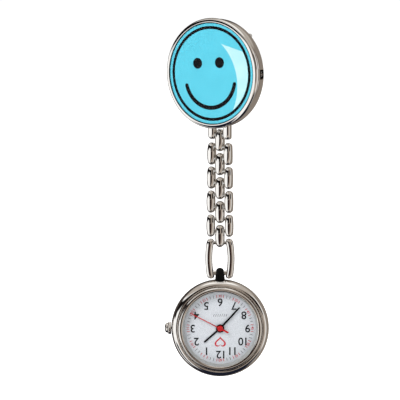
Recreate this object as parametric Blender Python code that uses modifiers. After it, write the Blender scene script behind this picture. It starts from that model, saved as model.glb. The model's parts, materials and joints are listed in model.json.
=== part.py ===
"""A nurse's fob watch: an enamelled clip-on brooch, a brick-link chain and a quartz watch that hangs
upside down, so that its wearer can read it.

World frame: metres, +Z up, the brooch faces -Y. The origin is the centre of the brooch's back cover, on
the face that lies against the garment. The chain twists by CHAIN_TWIST from the brooch to the watch.
Lengths below are in millimetres and are scaled by MM when a mesh is made.
"""

import math

import bmesh
import bpy
from mathutils import Matrix, Vector

MM = 0.001
GAP = 0.05  # running clearance between pieces that touch in the real object

# brooch, in its own frame: x right, y up, z towards the viewer, 0 on the back cover's outer face
BEZEL_RADIUS = 15.2
BARREL_RADIUS = 14.9
BADGE_RADIUS = 13.9
COVER_RADIUS = 14.0
RIM_BACK = -1.6
BEZEL_FRONT = 2.6
SLOT_HEIGHT = 2.7
LUG_RADIUS = 1.2
LUG_HALF_DEPTH = 0.9
BADGE_BASE = 1.45
BADGE_TOP = 2.3
DOME_TOP = 3.5

# clip on the back of the brooch
AXLE_RADIUS = 0.4
AXLE_DEPTH = -0.95
CLIP_WIDTH = 16.0
CLIP_TOP = 10.7
CLIP_BOTTOM = -11.5
CLIP_THICKNESS = 0.6
EAR_RADIUS = 0.8

# chain
CHAIN_DEPTH = 1.6  # the chain hangs this far behind the origin, in +Y
FIRST_PIN = -17.15
PIN_PITCH = 3.32
ROWS = 4
CHAIN_TWIST = math.radians(35.0)
HINGES = 11
LINK_THICKNESS = 2.2
LINK_OVERHANG = 1.45  # half of what a link's length adds to the distance between its pins
LINK_SHIFT = 0.23  # centre links sit this far up on their pins, and outer links this far down
CENTRE_WIDTH = 2.6
OUTER_WIDTH = 2.37
SIDE_GAP = 0.08
PIN_RADIUS = 0.45
HOLE_RADIUS = 0.62
TIGHT_HOLE_RADIUS = 0.484  # in the outer links, which hold their pins
LINK_BEVEL = 0.45
END_LINK_DROP = 8.37  # between the end link's pin and its bar
END_LINK_TOP = 1.2
END_LINK_BOTTOM = 1.6
END_LINK_HALF_DEPTH = 0.95
BAR_RADIUS = 0.65

# watch, in its own frame: x right, y up, z towards the viewer, 0 at the depth of the chain
WATCH_RADIUS = 13.5
WATCH_DROP = 15.3  # from the end link's bar to the watch's centre
CASE_BACK = -2.9
BACK_FACE = -3.6
BORE_RADIUS = 11.3
BEZEL_SEAT_RADIUS = 11.7
LIP_RADIUS = 10.45
CRYSTAL_RADIUS = 10.65
DIAL_RADIUS = 10.5
DIAL_TOP = 0.9
MOVEMENT_RADIUS = 9.4
STEM_DEPTH = -0.35
CROWN_RADIUS = 1.75
CROWN_LENGTH = 1.8
BATTERY_RADIUS = 3.4
BATTERY_PLACE = (5.76, -1.02)

# going train: teeth, module and the angle of each arbor from the centre
TRAIN_MODULE = 0.15
THIRD_MODULE = 0.1
STEP_MODULE = 0.11
MOTION_MODULE = 0.1
SECONDS_TEETH = 30
STEP_PINION = 6
STEP_TEETH = 36
ROTOR_PINION = 6
THIRD_TEETH = 45
SECONDS_PINION = 6
CENTRE_TEETH = 48
THIRD_PINION = 6
CANNON_PINION = 10
MINUTE_TEETH = 30
MINUTE_PINION = 8
HOUR_TEETH = 32
STEP_ANGLE = math.radians(240.0)
THIRD_ANGLE = math.radians(120.0)
MINUTE_ANGLE = math.radians(180.0)

# the time shown, as clockwise angles from the dial's 12, which points down
HOUR_ANGLE = math.radians(48.9)
MINUTE_HAND_ANGLE = math.radians(222.7)
SECOND_ANGLE = math.radians(117.5)

ROUND_STEPS = 32
RIM_STEPS = 44
SMALL_STEPS = 12

for leftover in list(bpy.data.objects):
    bpy.data.objects.remove(leftover, do_unlink=True)

parts = bpy.data.collections.new("fob_watch")
cutters = bpy.data.collections.new("cutters")
bpy.context.scene.collection.children.link(parts)
bpy.context.scene.collection.children.link(cutters)


def material(name, colour, roughness, metallic):
    made = bpy.data.materials.new(name)
    made.use_nodes = True
    shader = made.node_tree.nodes["Principled BSDF"]
    shader.inputs["Base Color"].default_value = (*colour, 1.0)
    shader.inputs["Roughness"].default_value = roughness
    shader.inputs["Metallic"].default_value = metallic
    return made


CHROME = material("chrome", (0.72, 0.71, 0.69), 0.08, 1.0)
STEEL = material("brushed_steel", (0.55, 0.54, 0.52), 0.32, 1.0)
BRASS = material("brass", (0.72, 0.55, 0.26), 0.3, 1.0)
BLUE = material("blue_enamel", (0.13, 0.7, 0.87), 0.15, 0.0)
CLEAR = material("clear", (0.9, 0.95, 0.97), 0.03, 0.0)
DIAL = material("dial_silver", (0.8, 0.81, 0.83), 0.4, 0.2)
GREY = material("grey", (0.45, 0.46, 0.48), 0.45, 0.1)
BLACK = material("black", (0.01, 0.01, 0.012), 0.35, 0.0)
RED = material("red", (0.75, 0.03, 0.03), 0.35, 0.0)
GREEN = material("board_green", (0.03, 0.22, 0.1), 0.5, 0.0)
COPPER = material("copper", (0.7, 0.33, 0.16), 0.35, 1.0)
PLASTIC = material("white_plastic", (0.75, 0.75, 0.72), 0.5, 0.0)


def axes(name, location, yaw=0.0, faces_viewer=False):
    """An empty that carries pieces: turned by yaw, and tipped up when they are modelled face up."""
    empty = bpy.data.objects.new(name, None)
    parts.objects.link(empty)
    empty.location = Vector(location) * MM
    empty.rotation_euler = (math.pi / 2 if faces_viewer else 0.0, 0.0, yaw)
    return empty


def place(name, mesh, look, parent, location=(0, 0, 0), rotation=(0, 0, 0), cutter=False):
    obj = bpy.data.objects.new(name, mesh)
    (cutters if cutter else parts).objects.link(obj)
    obj.parent = parent
    obj.location = Vector(location) * MM
    obj.rotation_euler = rotation
    if cutter:
        obj.hide_render = True
        obj.display_type = "WIRE"
    else:
        mesh.materials.append(look)
        mesh.shade_smooth()
        mesh.set_sharp_from_angle(angle=math.radians(35))
    return obj


def mesh_from(name, fill):
    """A mesh that fill(bm) makes in millimetres."""
    bm = bmesh.new()
    fill(bm)
    bmesh.ops.scale(bm, vec=(MM, MM, MM), verts=bm.verts)
    mesh = bpy.data.meshes.new(name)
    bm.to_mesh(mesh)
    bm.free()
    return mesh


def rod_mesh(name, radius, low, high, axis="Z", steps=SMALL_STEPS):
    """A cylinder from low to high along an axis."""
    turn = {"Z": Matrix(), "X": Matrix.Rotation(math.pi / 2, 4, "Y"),
            "Y": Matrix.Rotation(-math.pi / 2, 4, "X")}[axis]

    def fill(bm):
        bmesh.ops.create_cone(bm, cap_ends=True, segments=steps, radius1=radius, radius2=radius,
                              depth=high - low, matrix=turn @ Matrix.Translation((0, 0, (high + low) / 2)))
    return mesh_from(name, fill)


def box_mesh(name, low, high):
    size = [b - a for a, b in zip(low, high)]
    middle = [(a + b) / 2 for a, b in zip(low, high)]

    def fill(bm):
        bmesh.ops.create_cube(bm, size=1.0, matrix=Matrix.Translation(middle) @ Matrix.Diagonal((*size, 1)))
    return mesh_from(name, fill)


def turned(name, profile, look, parent, steps=ROUND_STEPS, location=(0, 0, 0), closed=True, cutter=False):
    """A solid of revolution about local Z. The profile's (radius, height) points run down its outer side."""
    mesh = bpy.data.meshes.new(name)
    edges = [(i, i + 1) for i in range(len(profile) - 1)]
    if closed:
        edges.append((len(profile) - 1, 0))
    mesh.from_pydata([(r * MM, 0, z * MM) for r, z in profile], edges, [])
    obj = place(name, mesh, look, parent, location, cutter=cutter)
    screw = obj.modifiers.new("turn", "SCREW")
    screw.steps = steps
    screw.render_steps = steps
    screw.use_merge_vertices = True
    screw.merge_threshold = 0.00001
    screw.use_smooth_shade = True
    return obj


def outline(name, points, low, high, look, parent, location=(0, 0, 0), rotation=(0, 0, 0), holes=(),
            bevel=0.0, cutter=False):
    """A flat outline, with holes, extruded along local Z from low to high."""
    curve = bpy.data.curves.new(name, "CURVE")
    curve.dimensions = "2D"
    curve.fill_mode = "BOTH"
    curve.extrude = ((high - low) / 2 - bevel) * MM
    curve.bevel_depth = bevel * MM
    curve.bevel_resolution = 1
    curve.offset = -bevel * MM
    for ring in (points, *holes):
        spline = curve.splines.new("POLY")
        spline.points.add(len(ring) - 1)
        spline.use_cyclic_u = True
        for point, (x, y) in zip(spline.points, ring):
            point.co = (x * MM, y * MM, 0, 1)
    holder = bpy.data.objects.new(name + "_outline", curve)
    bpy.context.scene.collection.objects.link(holder)
    shape = holder.evaluated_get(bpy.context.evaluated_depsgraph_get())
    mesh = bpy.data.meshes.new_from_object(shape)
    bpy.data.objects.remove(holder, do_unlink=True)
    bm = bmesh.new()
    bm.from_mesh(mesh)
    bmesh.ops.remove_doubles(bm, verts=bm.verts, dist=0.000001)
    bmesh.ops.translate(bm, vec=(0, 0, (high + low) / 2 * MM), verts=bm.verts)
    bmesh.ops.recalc_face_normals(bm, faces=bm.faces)
    bm.to_mesh(mesh)
    bm.free()
    mesh.name = name
    mesh.materials.clear()
    return place(name, mesh, look, parent, location, rotation, cutter)


def cut(obj, mesh, location=(0, 0, 0), rotation=(0, 0, 0), operation="DIFFERENCE"):
    """Cuts a mesh out of an object, or joins it on, placed in the object's own parent's frame."""
    tool = place(f"{obj.name}_{operation.lower()}_{len(obj.modifiers)}", mesh, None, obj.parent,
                 location, rotation, cutter=True)
    boolean = obj.modifiers.new("boolean", "BOOLEAN")
    boolean.operation = operation
    boolean.object = tool
    boolean.solver = "EXACT"


def unite(obj, tool):
    """Joins a placed cutter onto an object."""
    boolean = obj.modifiers.new("union", "BOOLEAN")
    boolean.operation = "UNION"
    boolean.object = tool
    boolean.solver = "EXACT"


def bevel(obj, width, segments=2, angle=35):
    made = obj.modifiers.new("round", "BEVEL")
    made.width = width * MM
    made.segments = segments
    made.limit_method = "ANGLE"
    made.angle_limit = math.radians(angle)


def circle(radius, steps, centre=(0, 0)):
    return [(centre[0] + radius * math.cos(2 * math.pi * i / steps),
             centre[1] + radius * math.sin(2 * math.pi * i / steps)) for i in range(steps)]


def arc(radius_x, radius_y, start, end, steps, centre=(0, 0)):
    """Points of an elliptical arc between two angles in degrees, ends included."""
    angles = [math.radians(start + (end - start) * i / steps) for i in range(steps + 1)]
    return [(centre[0] + radius_x * math.cos(a), centre[1] + radius_y * math.sin(a)) for a in angles]


def rounded_box(left, right, bottom, top, radius, steps=3):
    """A rectangle's outline with round corners."""
    corners = ((right, top, 0), (left, top, 90), (left, bottom, 180), (right, bottom, 270))
    points = []
    for x, y, start in corners:
        centre = (x - radius if x == right else x + radius, y - radius if y == top else y + radius)
        points += arc(radius, radius, start, start + 90, steps, centre)
    return points


def gear_outline(teeth, module, shortening=0.03):
    """A gear's outline. Its teeth stop just short of the pitch circle, so that turning gears stay clear."""
    tip = module * teeth / 2 - shortening
    root = tip - 1.3 * module
    step = 2 * math.pi / teeth
    points = []
    for tooth in range(teeth):
        for share, radius in ((0.0, tip), (0.5, root)):
            angle = (tooth + share) * step
            points.append((radius * math.cos(angle), radius * math.sin(angle)))
    return points


def at(radius, angle):
    return (radius * math.cos(angle), radius * math.sin(angle))


# ------------------------------------------------------------------ brooch
def make_brooch(frame):
    ledge, front = BADGE_BASE - GAP, BEZEL_FRONT
    back_seat = [(14.6, RIM_BACK), (14.1, RIM_BACK), (14.1, 0.55), (12.9, 0.55), (12.9, ledge), (14.0, ledge)]
    # highest beside the dome, then rolling over to the barrel
    lip = [(14.0, front - 0.12), (14.1, front), (14.35, front - 0.02), (14.7, front - 0.18), (14.98, front - 0.46),
           (BEZEL_RADIUS - 0.05, front - 0.8), (BEZEL_RADIUS, front - 1.03), (BEZEL_RADIUS - 0.1, front - 1.17)]
    barrel = [(BARREL_RADIUS, front - 1.2), (BARREL_RADIUS, RIM_BACK + 0.3)]
    rim = turned("brooch_case", back_seat + lip + barrel, CHROME, frame, steps=RIM_STEPS)
    for side in (-1, 1):
        low, high = sorted((side * 14.05, side * 16))
        cut(rim, box_mesh("slot", (low, -SLOT_HEIGHT / 2, RIM_BACK + 0.2), (high, SLOT_HEIGHT / 2, 0.5)))
    inner = CENTRE_WIDTH / 2 + SIDE_GAP
    # the lugs' side outline in (depth, height): round below, and sunk into the barrel above
    lug_top = -BARREL_RADIUS + 0.6
    profile = arc(LUG_HALF_DEPTH, LUG_RADIUS, 180, 360, 8, (CHAIN_DEPTH, FIRST_PIN))
    profile += [(CHAIN_DEPTH + LUG_HALF_DEPTH, lug_top), (CHAIN_DEPTH - LUG_HALF_DEPTH, lug_top)]
    for side in (-1, 1):
        low, high = sorted((side * inner, side * (inner + OUTER_WIDTH - 0.1)))
        lug = outline("lug", profile, low, high, None, frame, rotation=(0, math.pi / 2, 0), cutter=True)
        unite(rim, lug)
    cut(rim, rod_mesh("lug_hole", PIN_RADIUS + 0.03, -3.3, 3.3, "X"), (0, FIRST_PIN, -CHAIN_DEPTH))
    place("lug_pin", rod_mesh("lug_pin", PIN_RADIUS, -3.2, 3.2, "X"), STEEL, frame, (0, FIRST_PIN, -CHAIN_DEPTH))

    disc = [(0, BADGE_TOP), (BADGE_RADIUS, BADGE_TOP), (BADGE_RADIUS, BADGE_BASE), (0, BADGE_BASE)]
    turned("badge_disc", disc, BLUE, frame, closed=False)
    dome_base = BADGE_TOP + GAP
    dome = [(0, DOME_TOP), (5, DOME_TOP - 0.09), (9, DOME_TOP - 0.3), (12.4, DOME_TOP - 0.62),
            (BADGE_RADIUS, DOME_TOP - 0.94), (BADGE_RADIUS, dome_base), (0, dome_base)]
    turned("dome_lens", dome, CLEAR, frame, closed=False)
    turned("back_cover", [(0, 0.5), (COVER_RADIUS, 0.5), (COVER_RADIUS, 0.0), (0, 0.0)], STEEL, frame, closed=False)
    place("clip_axle", rod_mesh("clip_axle", AXLE_RADIUS, -14.6, 14.6, "X"), STEEL, frame, (0, 0, AXLE_DEPTH))


def make_clip(frame):
    """The clip's lever pivots on the axle: its jaw closes on the cover below, its thumb plate is above."""
    hinge = axes("clip_hinge", (0, -AXLE_DEPTH, 0), faces_viewer=True)
    half = CLIP_THICKNESS / 2
    # centre line of the bent plate in (height, z), from the jaw's tip to the thumb plate's top edge
    line = [(CLIP_BOTTOM, -0.1), (CLIP_BOTTOM + 0.1, -1.0), (CLIP_BOTTOM + 1.0, -1.65), (-6.0, -1.9), (-1.5, -2.05),
            (1.5, -2.05), (4.0, -2.8), (7.3, -4.5), (CLIP_TOP, -6.5)]
    left, right = [], []
    for i, point in enumerate(line):
        before = Vector(line[max(i - 1, 0)])
        after = Vector(line[min(i + 1, len(line) - 1)])
        along = (after - before).normalized()
        side = Vector((-along.y, along.x)) * half
        left.append(tuple(Vector(point) + side))
        right.append(tuple(Vector(point) - side))
    profile = [(AXLE_DEPTH - z, y) for y, z in left + right[::-1]]
    lever = outline("clip_lever", profile, -CLIP_WIDTH / 2, CLIP_WIDTH / 2, STEEL, hinge,
                    rotation=(0, math.pi / 2, 0))
    # the plate is widest at its thumb end and narrower elsewhere: (half width, from height, to height)
    waists = ((5.2, CLIP_BOTTOM - 1, -1.3), (6.2, -1.4, 1.4), (5.2, 1.3, 6.0))
    ear_outline = arc(EAR_RADIUS, EAR_RADIUS, 90, 270, 8) + [(1.1, -EAR_RADIUS), (1.1, EAR_RADIUS)]
    for side in (-1, 1):
        for half_width, bottom, top in waists:
            low, high = sorted((side * half_width, side * (CLIP_WIDTH / 2 + 1)))
            cut(lever, box_mesh("waist", (low, bottom, -6), (high, top, 2.5)))
        low, high = sorted((side * 5.4, side * 6.15))
        ear = outline("clip_ear", ear_outline, low, high, None, hinge, rotation=(0, math.pi / 2, 0), cutter=True)
        unite(lever, ear)
    cut(lever, rod_mesh("axle_hole", AXLE_RADIUS + GAP, -8, 8, "X"))
    make_spring(frame)


def make_spring(frame):
    """A torsion spring on the axle, between the cover and the lever."""
    turns, per_turn, pitch, wire = 3.5, 10, 0.45, 0.13
    radius = AXLE_RADIUS + GAP + wire
    count = round(turns * per_turn)
    start = -2.0
    points = []
    for i in range(count + 1):
        angle = 2 * math.pi * i / per_turn
        points.append((start + pitch * i / per_turn, radius * math.cos(angle), AXLE_DEPTH + radius * math.sin(angle)))
    curve = bpy.data.curves.new("clip_spring", "CURVE")
    curve.dimensions = "3D"
    curve.bevel_depth = wire * 0.8 * MM
    curve.bevel_resolution = 2
    curve.use_fill_caps = True
    spline = curve.splines.new("POLY")
    points = [(start, 4.5, AXLE_DEPTH)] + points + [(start + pitch * turns, -4.5, AXLE_DEPTH)]
    spline.points.add(len(points) - 1)
    for point, (x, y, z) in zip(spline.points, points):
        point.co = (x * MM, y * MM, z * MM, 1)
    curve.materials.append(STEEL)
    spring = bpy.data.objects.new("clip_spring", curve)
    parts.objects.link(spring)
    spring.parent = frame


# ------------------------------------------------------------------ chain
def link_profile(top, bottom, steps=6):
    """A link's side outline in (depth, height): flat flanks and rounded ends around its two pins."""
    half = LINK_THICKNESS / 2
    return arc(half, LINK_OVERHANG, 0, 180, steps, (0, top)) + arc(half, LINK_OVERHANG, 180, 360, steps, (0, bottom))


def make_link(name, parent, low, high, shift, hole_radius):
    """One link with two pin holes. Its frame's origin is on its upper pin."""
    profile = link_profile(shift, shift - PIN_PITCH)
    link = outline(name, profile, low, high, CHROME, parent, rotation=(math.pi / 2, 0, math.pi / 2))
    bevel(link, LINK_BEVEL, 1)
    for height in (0, -PIN_PITCH):
        cut(link, rod_mesh("pin_hole", hole_radius, low - 1, high + 1, "X", 10), (0, 0, height))


def link_frame(index):
    """The frame of the chain's body that hangs from pin number index, counted from 1 at the lugs."""
    height = FIRST_PIN - PIN_PITCH * (index - 1)
    return axes(f"chain_frame_{index}", (0, CHAIN_DEPTH, height), CHAIN_TWIST * index / HINGES)


def make_chain():
    half = CENTRE_WIDTH / 2
    inner = half + SIDE_GAP
    for number in range(1, ROWS + 2):
        make_link(f"centre_link_{number}", link_frame(2 * number - 1), -half, half, LINK_SHIFT, HOLE_RADIUS)
    for row in range(ROWS):
        letter = "ABCD"[row]
        frame = link_frame(2 * row + 2)
        for side, word in ((-1, "left"), (1, "right")):
            low, high = sorted((side * inner, side * (inner + OUTER_WIDTH)))
            make_link(f"outer_link_{letter}_{word}", frame, low, high, -LINK_SHIFT, TIGHT_HOLE_RADIUS)
        for height, word in ((0, "top"), (-PIN_PITCH, "bottom")):
            place(f"pin_{letter}_{word}", rod_mesh("pin", PIN_RADIUS, -inner - 1.7, inner + 1.7, "X"), STEEL, frame,
                  (0, 0, height))


def make_end_link():
    """The large link between the chain and the watch: two bowed arms, a pin and a bar."""
    frame = link_frame(HINGES - 1)
    inner = CENTRE_WIDTH / 2 + SIDE_GAP
    top, bottom = END_LINK_TOP, -END_LINK_DROP - END_LINK_BOTTOM
    middle = (top + bottom) / 2
    half = (top - bottom) / 2
    count = 8
    for side, word in ((-1, "left"), (1, "right")):
        outer_edge, inner_edge = [], []
        for i in range(count + 1):
            t = -1 + 2 * i / count
            height = middle - t * half
            bow = math.cos(t * math.pi / 2)
            # the arm is widest at the pins and slimmer and bowed out between them
            end = max(0.0, (abs(t) - 0.7) / 0.3)
            outer = 3.6 + 0.45 * max(0.0, bow) ** 0.7 - 0.45 * end ** 2
            outer_edge.append((side * outer, height))
            inner_edge.append((side * (inner + 0.67 * max(0.0, bow) ** 0.8), height))
        arm = outline(f"end_link_{word}", outer_edge + inner_edge[::-1], -END_LINK_HALF_DEPTH, END_LINK_HALF_DEPTH,
                      CHROME, frame, rotation=(math.pi / 2, 0, 0))
        bevel(arm, 0.5, 1, angle=50)
        cut(arm, rod_mesh("pin_hole", PIN_RADIUS + 0.03, -6, 6, "X", 14), (0, 0, 0))
        cut(arm, rod_mesh("bar_hole", BAR_RADIUS + 0.03, -6, 6, "X", 14), (0, 0, -END_LINK_DROP))
    place("end_link_pin", rod_mesh("end_link_pin", PIN_RADIUS, -inner - 1.7, inner + 1.7, "X"), STEEL, frame)
    place("end_link_bar", rod_mesh("end_link_bar", BAR_RADIUS, -inner - 1.75, inner + 1.75, "X"), CHROME, frame,
          (0, 0, -END_LINK_DROP))


# ------------------------------------------------------------------ watch
def make_case(frame):
    # highest beside the bezel, then a long round fall to the flank
    outside = [(BEZEL_SEAT_RADIUS, 2.3), (11.78, 2.52), (11.95, 2.62), (12.15, 2.6), (12.4, 2.51), (12.65, 2.37),
               (12.9, 2.15), (13.12, 1.86), (13.32, 1.4), (13.45, 0.9), (WATCH_RADIUS, 0.4), (WATCH_RADIUS, -0.6),
               (13.35, -1.6), (13.1, -2.4), (12.7, CASE_BACK)]
    inside = [(11.95, CASE_BACK), (11.95, -2.35), (BORE_RADIUS, -2.35), (BORE_RADIUS, 1.9), (BEZEL_SEAT_RADIUS, 1.9)]
    case = turned("watch_case", outside + inside, CHROME, frame, steps=RIM_STEPS)
    cut(case, rod_mesh("stem_hole", 0.5, -15, -10, "X"), (0, 0, STEM_DEPTH))
    cut(case, rod_mesh("eyelet_hole", 0.6, 11.0, 15, "Y"))
    bezel_outer, bezel_bottom = BEZEL_SEAT_RADIUS - 0.08, 1.95
    bore, lip_bottom = CRYSTAL_RADIUS + GAP, 3.25
    turned("bezel", [(LIP_RADIUS, lip_bottom), (LIP_RADIUS, 3.4), (10.7, 3.58), (11.05, 3.62), (11.4, 3.42),
                     (bezel_outer, 3.0), (bezel_outer, bezel_bottom), (bore, bezel_bottom), (bore, lip_bottom)],
           CHROME, frame, steps=RIM_STEPS)
    crystal = [(0, 3.35), (9.0, 3.28), (10.3, 3.2), (CRYSTAL_RADIUS, 3.2), (CRYSTAL_RADIUS, 2.45), (0, 2.45)]
    turned("crystal", crystal, CLEAR, frame, closed=False)
    turned("chapter_ring", [(10.65, 2.4), (10.65, 1.0), (9.9, 1.0), (10.35, 2.4)], GREY, frame)
    back = [(0, -2.5), (10.9, -2.5), (10.9, -2.4), (11.85, -2.4), (11.85, -3.0), (11.3, BACK_FACE), (0, BACK_FACE)]
    turned("case_back", back, STEEL, frame, closed=False)
    turned("back_gasket", [(11.25, -2.15), (11.25, -2.3), (10.95, -2.3), (10.95, -2.15)], BLACK, frame, steps=40)


def make_eyelet(frame, eyelet_height):
    """The black loop on top of the case, around the end link's bar, with a post into the case."""
    outer, hole = 1.45, BAR_RADIUS + 0.08
    bottom = WATCH_RADIUS - eyelet_height + 0.06
    profile = arc(outer, outer, 0, 180, 10) + [(-outer, bottom), (outer, bottom)]
    loop = outline("eyelet", profile, -1.27, 1.27, BLACK, frame, location=(0, eyelet_height, 0),
                   rotation=(0, math.pi / 2, 0))
    bevel(loop, 0.45, 2, angle=60)
    cut(loop, rod_mesh("bar_way", hole, -3, 3, "X", 16), (0, eyelet_height, 0))
    cut(loop, rod_mesh("post", 0.5, 12.3, 13.9, "Y"), operation="UNION")


def make_dial_side(frame):
    turned("dial", [(0.75, DIAL_TOP), (DIAL_RADIUS, DIAL_TOP), (DIAL_RADIUS, 0.55), (0.75, 0.55)], DIAL, frame)
    ring = turned("movement_ring", [(11.1, 0.5), (11.1, -2.1), (9.5, -2.1), (9.5, 0.5)], PLASTIC, frame)
    cut(ring, box_mesh("stem_way", (-12, -0.5, STEM_DEPTH - 0.5), (-9, 0.5, 1.0)))


def hand_outline(length, tail, base, tip, collet):
    """A hand's outline pointing along +Y: a tapered blade, a round collet and, if any, a tail."""
    lean = math.degrees(math.asin(base / collet))
    if tail:
        points = arc(collet, collet, 90 + lean, 270 - lean, 6) + [(-base, -tail), (base, -tail)]
        points += arc(collet, collet, 270 + lean, 450 - lean, 6)
    else:
        points = arc(collet, collet, 90 + lean, 450 - lean, 12)
    return points + [(tip, length), (-tip, length)]


def make_hand(name, frame, angle, low, high, shape, look, hole):
    """Positive angles run clockwise from the dial's 12, which points down."""
    holes = [circle(hole, 12)] if hole else []
    return outline(name, shape, low, high, look, frame, rotation=(0, 0, math.pi - angle), holes=holes)


def make_hands(frame):
    hour = hand_outline(length=6.0, tail=0.0, base=0.3, tip=0.24, collet=1.1)
    minute = hand_outline(length=8.0, tail=0.0, base=0.28, tip=0.22, collet=1.1)
    second = hand_outline(length=9.4, tail=2.5, base=0.16, tip=0.1, collet=0.88)
    make_hand("hour_hand", frame, HOUR_ANGLE, 1.1, 1.25, hour, BLACK, 0.58)
    make_hand("minute_hand", frame, MINUTE_HAND_ANGLE, 1.4, 1.55, minute, BLACK, 0.36)
    second = make_hand("second_hand", frame, SECOND_ANGLE, 1.7, 1.85, second, RED, 0.0)
    cut(second, rod_mesh("second_tube", 0.2, 1.62, 1.72), operation="UNION")


def wheel(name, frame, place_at, teeth, module, low, high, joined, hole=0.0, look=BRASS):
    """A gear on an arbor. joined lists the meshes of what else is on it, in the wheel's own frame."""
    holes = [circle(hole, 14)] if hole else []
    made = outline(name, gear_outline(teeth, module), low, high, look, frame, location=(*place_at, 0), holes=holes)
    for mesh in joined:
        cut(made, mesh, (*place_at, 0), operation="UNION")


def pinion_mesh(teeth, module, low, high):
    """A small gear, as a mesh to join to an arbor."""
    def fill(bm):
        ring = [bm.verts.new((x, y, low)) for x, y in gear_outline(teeth, module, 0.02)]
        face = bm.faces.new(ring)
        grown = bmesh.ops.extrude_face_region(bm, geom=[face])["geom"]
        verts = [v for v in grown if isinstance(v, bmesh.types.BMVert)]
        bmesh.ops.translate(bm, vec=(0, 0, high - low), verts=verts)
        bmesh.ops.recalc_face_normals(bm, faces=bm.faces)
    return mesh_from("pinion", fill)


def tube_mesh(outer, inner, low, high):
    """A tube, as a mesh to join to a wheel."""
    def fill(bm):
        rings = []
        for radius, height in ((outer, low), (outer, high), (inner, high), (inner, low)):
            rings.append([bm.verts.new((x, y, height)) for x, y in circle(radius, 14)])
        for i, ring in enumerate(rings):
            following = rings[(i + 1) % 4]
            for j in range(14):
                k = (j + 1) % 14
                bm.faces.new((ring[j], ring[k], following[k], following[j]))
        bmesh.ops.recalc_face_normals(bm, faces=bm.faces)
    return mesh_from("tube", fill)


def make_train(frame):
    """The wheels, each on its own arbor between the main plate and the train bridge."""
    step_distance = TRAIN_MODULE * (SECONDS_TEETH + STEP_PINION) / 2
    third_distance = THIRD_MODULE * (THIRD_TEETH + SECONDS_PINION) / 2
    centre_module = 2 * third_distance / (CENTRE_TEETH + THIRD_PINION)
    rotor_distance = step_distance + STEP_MODULE * (STEP_TEETH + ROTOR_PINION) / 2
    motion_distance = MOTION_MODULE * (CANNON_PINION + MINUTE_TEETH) / 2
    wheel("seconds_wheel", frame, (0, 0), SECONDS_TEETH, TRAIN_MODULE, -1.5, -1.38,
          [rod_mesh("arbor", 0.12, -1.9, 1.6), pinion_mesh(SECONDS_PINION, THIRD_MODULE, -1.44, -0.95)])
    wheel("step_wheel", frame, at(step_distance, STEP_ANGLE), STEP_TEETH, STEP_MODULE, -1.87, -1.77,
          [pinion_mesh(STEP_PINION, TRAIN_MODULE, -1.82, -1.3), rod_mesh("arbor", 0.12, -1.91, -0.63)])
    wheel("rotor", frame, at(rotor_distance, STEP_ANGLE), ROTOR_PINION, STEP_MODULE, -1.9, -1.65,
          [rod_mesh("magnet", 0.75, -1.6, -0.95), rod_mesh("arbor", 0.12, -1.91, -0.63)], look=STEEL)
    wheel("third_wheel", frame, at(third_distance, THIRD_ANGLE), THIRD_TEETH, THIRD_MODULE, -1.13, -1.02,
          [pinion_mesh(THIRD_PINION, centre_module, -1.08, -0.7), rod_mesh("arbor", 0.1, -1.91, -0.63)])
    wheel("centre_wheel", frame, (0, 0), CENTRE_TEETH, centre_module, -0.86, -0.74,
          [tube_mesh(0.32, 0.17, -0.8, 1.36), cannon_mesh(-0.02, 0.2)], hole=0.2)
    wheel("minute_wheel", frame, at(motion_distance, MINUTE_ANGLE), MINUTE_TEETH, MOTION_MODULE, 0.0, 0.12,
          [pinion_mesh(MINUTE_PINION, MOTION_MODULE, 0.06, 0.42)])
    wheel("hour_wheel", frame, (0, 0), HOUR_TEETH, MOTION_MODULE, 0.27, 0.37,
          [tube_mesh(0.54, 0.37, 0.32, 1.06)], hole=0.4)


def cannon_mesh(low, high):
    """The cannon pinion: a small gear with a hole for the centre tube's bore."""
    def fill(bm):
        edge = gear_outline(CANNON_PINION, MOTION_MODULE, 0.02)
        bore = [(0.25 * math.cos(math.atan2(y, x)), 0.25 * math.sin(math.atan2(y, x))) for x, y in edge]
        rings = []
        for points, height in ((edge, low), (edge, high), (bore, high), (bore, low)):
            rings.append([bm.verts.new((x, y, height)) for x, y in points])
        count = len(edge)
        for i, ring in enumerate(rings):
            following = rings[(i + 1) % 4]
            for j in range(count):
                k = (j + 1) % count
                bm.faces.new((ring[j], ring[k], following[k], following[j]))
        bmesh.ops.recalc_face_normals(bm, faces=bm.faces)
    return mesh_from("cannon", fill)


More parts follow.
